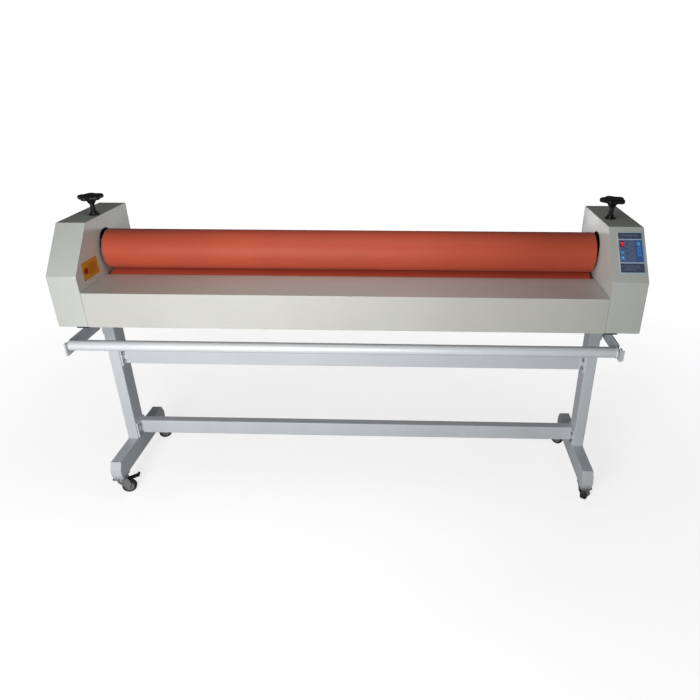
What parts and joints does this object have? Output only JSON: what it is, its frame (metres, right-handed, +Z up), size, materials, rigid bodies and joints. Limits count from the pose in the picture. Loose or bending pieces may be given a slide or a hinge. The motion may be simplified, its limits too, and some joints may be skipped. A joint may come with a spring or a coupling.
{
  "type": "cold roll laminator",
  "caption": "Wide-format cold roll laminator: silicone rollers between end covers, feed table, pressure knobs, keypad, supply bar and castered stand.",
  "frame": {"origin": "on the floor under the middle of the bounding box", "axes": "+X along the rollers towards the control side, -Y towards the operator, +Z up"},
  "size_m": [1.838, 0.42, 1.046],
  "materials": {
    "cover_paint": "fine textured powder coat, warm light grey",
    "stand_paint": "smooth silver grey powder coat",
    "silicone": "ground silicone rubber, satin orange red",
    "dark_steel": "black oxide and dark paint",
    "bright_steel": "turned and zinc plated steel",
    "black_plastic": "moulded black plastic, fine grain",
    "bar_aluminium": "drawn, satin anodised",
    "motor_paint": "grey enamel",
    "nylon": "natural nylon",
    "wheel_rubber": "black rubber tread",
    "keypad_film": "printed polyester film",
    "key_blue": "light blue key tops",
    "display_lens": "dark red lens",
    "board": "green circuit board",
    "label_film": "amber printed film"
  },
  "bodies": {
    "frame": {"left_cover": "cover_paint", "right_cover": "cover_paint", "left_inner_panel": "cover_paint", "right_inner_panel": "cover_paint", "left_side_frame": "dark_steel", "right_side_frame": "dark_steel", "base_plates": "dark_steel", "knob_collars": "black_plastic", "feed_table": "cover_paint", "exit_table": "cover_paint", "tie_bars": "bright_steel", "lower_bearings": "bright_steel", "gearmotor": "motor_paint", "control_panel": "keypad_film", "display_window": "display_lens", "control_board": "board", "side_label": "label_film", "power_inlet": "black_plastic", "left_upright": "stand_paint", "right_upright": "stand_paint", "left_foot": "stand_paint", "right_foot": "stand_paint", "lower_crossbar": "stand_paint", "upper_crossbar": "stand_paint", "stand_bolts": "bright_steel", "cover_screws": "bright_steel", "left_bar_arm": "stand_paint", "right_bar_arm": "stand_paint", "caster_plates": "bright_steel"},
    "carriage": {"bearing_blocks": "bright_steel", "upper_bearings": "bright_steel", "lift_springs": "bright_steel"},
    "top_roller": {"top_roller_sleeve": "silicone", "top_roller_core": "bright_steel"},
    "bottom_roller": {"bottom_roller_sleeve": "silicone", "bottom_roller_core": "bright_steel", "drive_gear": "bright_steel"},
    "pinion": {"motor_pinion": "bright_steel"},
    "left_screw": {"left_pressure_screw": "dark_steel", "left_knob": "black_plastic"},
    "right_screw": {"right_pressure_screw": "dark_steel", "right_knob": "black_plastic"},
    "bar_bushes": {"supply_bushes": "nylon"},
    "bar": {"supply_bar": "bar_aluminium"},
    "power_rocker": {"power_switch": "black_plastic"},
    "speed_up_key_cap": {"speed_up_key": "key_blue"},
    "forward_key_cap": {"forward_key": "key_blue"},
    "reverse_key_cap": {"reverse_key": "key_blue"},
    "run_key_cap": {"run_key": "key_blue"},
    "stop_key_cap": {"stop_key": "key_blue"},
    "front_left_caster": {"front_left_fork": "bright_steel"},
    "front_left_roll": {"front_left_wheel": "wheel_rubber"},
    "front_left_brake": {"front_left_brake_pedal": "black_plastic"},
    "front_right_caster": {"front_right_fork": "bright_steel"},
    "front_right_roll": {"front_right_wheel": "wheel_rubber"},
    "front_right_brake": {"front_right_brake_pedal": "black_plastic"},
    "rear_left_caster": {"rear_left_fork": "bright_steel"},
    "rear_left_roll": {"rear_left_wheel": "wheel_rubber"},
    "rear_right_caster": {"rear_right_fork": "bright_steel"},
    "rear_right_roll": {"rear_right_wheel": "wheel_rubber"}
  },
  "joints": [
    {"name": "roller_lift", "type": "slide", "parent": "frame", "child": "carriage", "axis": [0, 0, 1], "range_m": [0, 0.02]},
    {"name": "top_roller_spin", "type": "hinge", "parent": "carriage", "child": "top_roller", "pos_m": [0, 0.03, 0.867], "axis": [1, 0, 0], "continuous": true},
    {"name": "bottom_roller_spin", "type": "hinge", "parent": "frame", "child": "bottom_roller", "pos_m": [0, 0.03, 0.7367], "axis": [1, 0, 0], "continuous": true},
    {"name": "pinion_spin", "type": "hinge", "parent": "frame", "child": "pinion", "pos_m": [0.824, -0.045, 0.7367], "axis": [1, 0, 0], "continuous": true},
    {"name": "left_screw_turn", "type": "hinge", "parent": "carriage", "child": "left_screw", "pos_m": [-0.844, 0.03, 0.94], "axis": [0, 0, 1], "range_deg": [0, 1801]},
    {"name": "right_screw_turn", "type": "hinge", "parent": "carriage", "child": "right_screw", "pos_m": [0.844, 0.03, 0.94], "axis": [0, 0, 1], "range_deg": [0, 1801]},
    {"name": "supply_bar_lift", "type": "slide", "parent": "frame", "child": "bar_bushes", "axis": [0, 0, 1], "range_m": [0, 0.04]},
    {"name": "supply_bar_spin", "type": "hinge", "parent": "bar_bushes", "child": "bar", "pos_m": [0, -0.175, 0.6], "axis": [1, 0, 0], "continuous": true},
    {"name": "power_switch_tip", "type": "hinge", "parent": "frame", "child": "power_rocker", "pos_m": [0.874, 0.203, 0.747], "axis": [1, 0, 0], "range_deg": [0, 20]},
    {"name": "speed_up_key_push", "type": "slide", "parent": "frame", "child": "speed_up_key_cap", "axis": [0, 0.7546, -0.6562], "range_m": [0, 0.0004], "stiffness_N_per_m": 400, "springref_m": -0.0005},
    {"name": "forward_key_push", "type": "slide", "parent": "frame", "child": "forward_key_cap", "axis": [0, 0.7546, -0.6562], "range_m": [0, 0.0004], "stiffness_N_per_m": 400, "springref_m": -0.0005},
    {"name": "reverse_key_push", "type": "slide", "parent": "frame", "child": "reverse_key_cap", "axis": [0, 0.7546, -0.6562], "range_m": [0, 0.0004], "stiffness_N_per_m": 400, "springref_m": -0.0005},
    {"name": "run_key_push", "type": "slide", "parent": "frame", "child": "run_key_cap", "axis": [0, 0.7546, -0.6562], "range_m": [0, 0.0004], "stiffness_N_per_m": 400, "springref_m": -0.0005},
    {"name": "stop_key_push", "type": "slide", "parent": "frame", "child": "stop_key_cap", "axis": [0, 0.7546, -0.6562], "range_m": [0, 0.0004], "stiffness_N_per_m": 400, "springref_m": -0.0005},
    {"name": "front_left_swivel", "type": "hinge", "parent": "frame", "child": "front_left_caster", "pos_m": [-0.845, -0.182, 0.068], "axis": [0, 0, 1], "continuous": true},
    {"name": "front_left_wheel_spin", "type": "hinge", "parent": "front_left_caster", "child": "front_left_roll", "pos_m": [-0.82578, -0.17649, 0.025], "axis": [-0.2756, 0.9613, 0], "continuous": true},
    {"name": "front_left_brake_press", "type": "hinge", "parent": "front_left_caster", "child": "front_left_brake", "pos_m": [-0.82481, -0.17621, 0.055], "axis": [-0.2756, 0.9613, 0], "range_deg": [0, 12]},
    {"name": "front_right_swivel", "type": "hinge", "parent": "frame", "child": "front_right_caster", "pos_m": [0.833, -0.182, 0.068], "axis": [0, 0, 1], "continuous": true},
    {"name": "front_right_wheel_spin", "type": "hinge", "parent": "front_right_caster", "child": "front_right_roll", "pos_m": [0.84476, -0.16582, 0.025], "axis": [-0.809, 0.5878, 0], "continuous": true},
    {"name": "front_right_brake_press", "type": "hinge", "parent": "front_right_caster", "child": "front_right_brake", "pos_m": [0.84534, -0.16501, 0.055], "axis": [-0.809, 0.5878, 0], "range_deg": [0, 12]},
    {"name": "rear_left_swivel", "type": "hinge", "parent": "frame", "child": "rear_left_caster", "pos_m": [-0.845, 0.162, 0.068], "axis": [0, 0, 1], "continuous": true},
    {"name": "rear_left_wheel_spin", "type": "hinge", "parent": "rear_left_caster", "child": "rear_left_roll", "pos_m": [-0.82687, 0.17045, 0.025], "axis": [-0.4226, 0.9063, 0], "continuous": true},
    {"name": "rear_right_swivel", "type": "hinge", "parent": "frame", "child": "rear_right_caster", "pos_m": [0.833, 0.162, 0.068], "axis": [0, 0, 1], "continuous": true},
    {"name": "rear_right_wheel_spin", "type": "hinge", "parent": "rear_right_caster", "child": "rear_right_roll", "pos_m": [0.81724, 0.17431, 0.025], "axis": [-0.6157, -0.788, 0], "continuous": true}
  ],
  "couplings": [
    {"joint": "top_roller_spin", "follows": "bottom_roller_spin", "ratio": -1},
    {"joint": "pinion_spin", "follows": "bottom_roller_spin", "ratio": -2},
    {"joint": "left_screw_turn", "follows": "roller_lift", "rad_per_m": 1570.8},
    {"joint": "right_screw_turn", "follows": "roller_lift", "rad_per_m": 1570.8}
  ]
}
